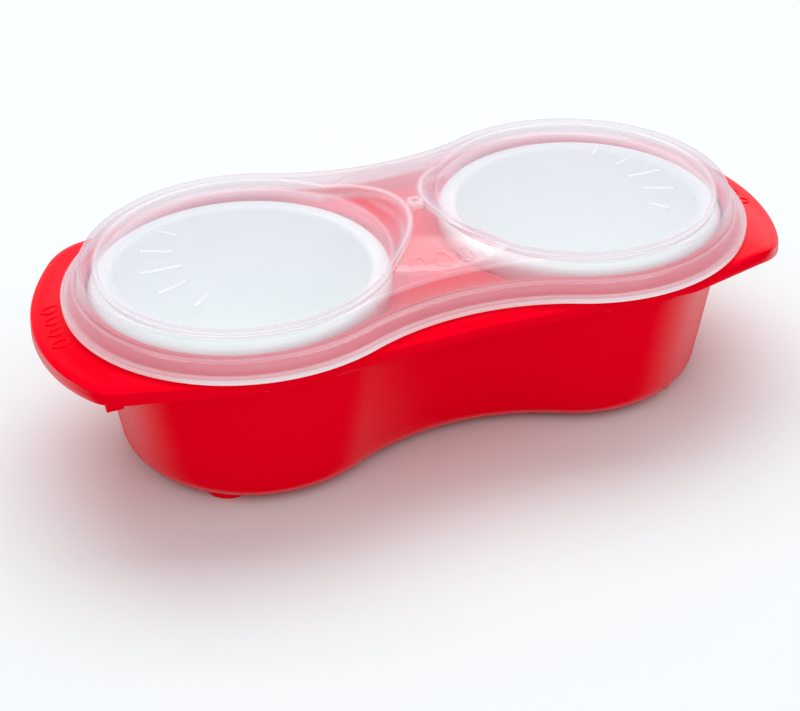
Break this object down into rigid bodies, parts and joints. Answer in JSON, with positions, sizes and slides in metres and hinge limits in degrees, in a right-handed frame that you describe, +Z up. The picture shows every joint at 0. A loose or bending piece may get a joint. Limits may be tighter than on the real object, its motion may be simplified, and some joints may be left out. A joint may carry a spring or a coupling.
{
  "type": "egg cooker",
  "caption": "Waisted red microwave tub with end handles, lift-out white egg cups and a clear domed lid with a steam vent.",
  "frame": {"origin": "centre of the footprint, under the middle of the waist, on the plane of the feet", "axes": "+X along the length towards one handle, +Y across the width towards the back, +Z up through the lid's vent"},
  "size_m": [0.2376, 0.1102, 0.0681],
  "materials": {
    "tub_plastic": "glossy moulded red plastic",
    "cup_plastic": "satin moulded white plastic",
    "lid_plastic": "clear, slightly milky moulded plastic"
  },
  "bodies": {
    "tub": {"base": "tub_plastic"},
    "lid": {"lid": "lid_plastic"},
    "cup_left": {"cup_left": "cup_plastic"},
    "cup_right": {"cup_right": "cup_plastic"}
  },
  "joints": [
    {"name": "lid_lift", "type": "slide", "parent": "tub", "child": "lid", "axis": [0, 0, 1], "range_m": [0, 0.12]},
    {"name": "cup_left_lift", "type": "slide", "parent": "tub", "child": "cup_left", "axis": [0, 0, 1], "range_m": [0, 0.06]},
    {"name": "cup_right_lift", "type": "slide", "parent": "tub", "child": "cup_right", "axis": [0, 0, 1], "range_m": [0, 0.06]}
  ],
  "couplings": [
    {"joint": "cup_left_lift", "follows": "lid_lift", "ratio": 0.5},
    {"joint": "cup_right_lift", "follows": "lid_lift", "ratio": 0.5}
  ]
}
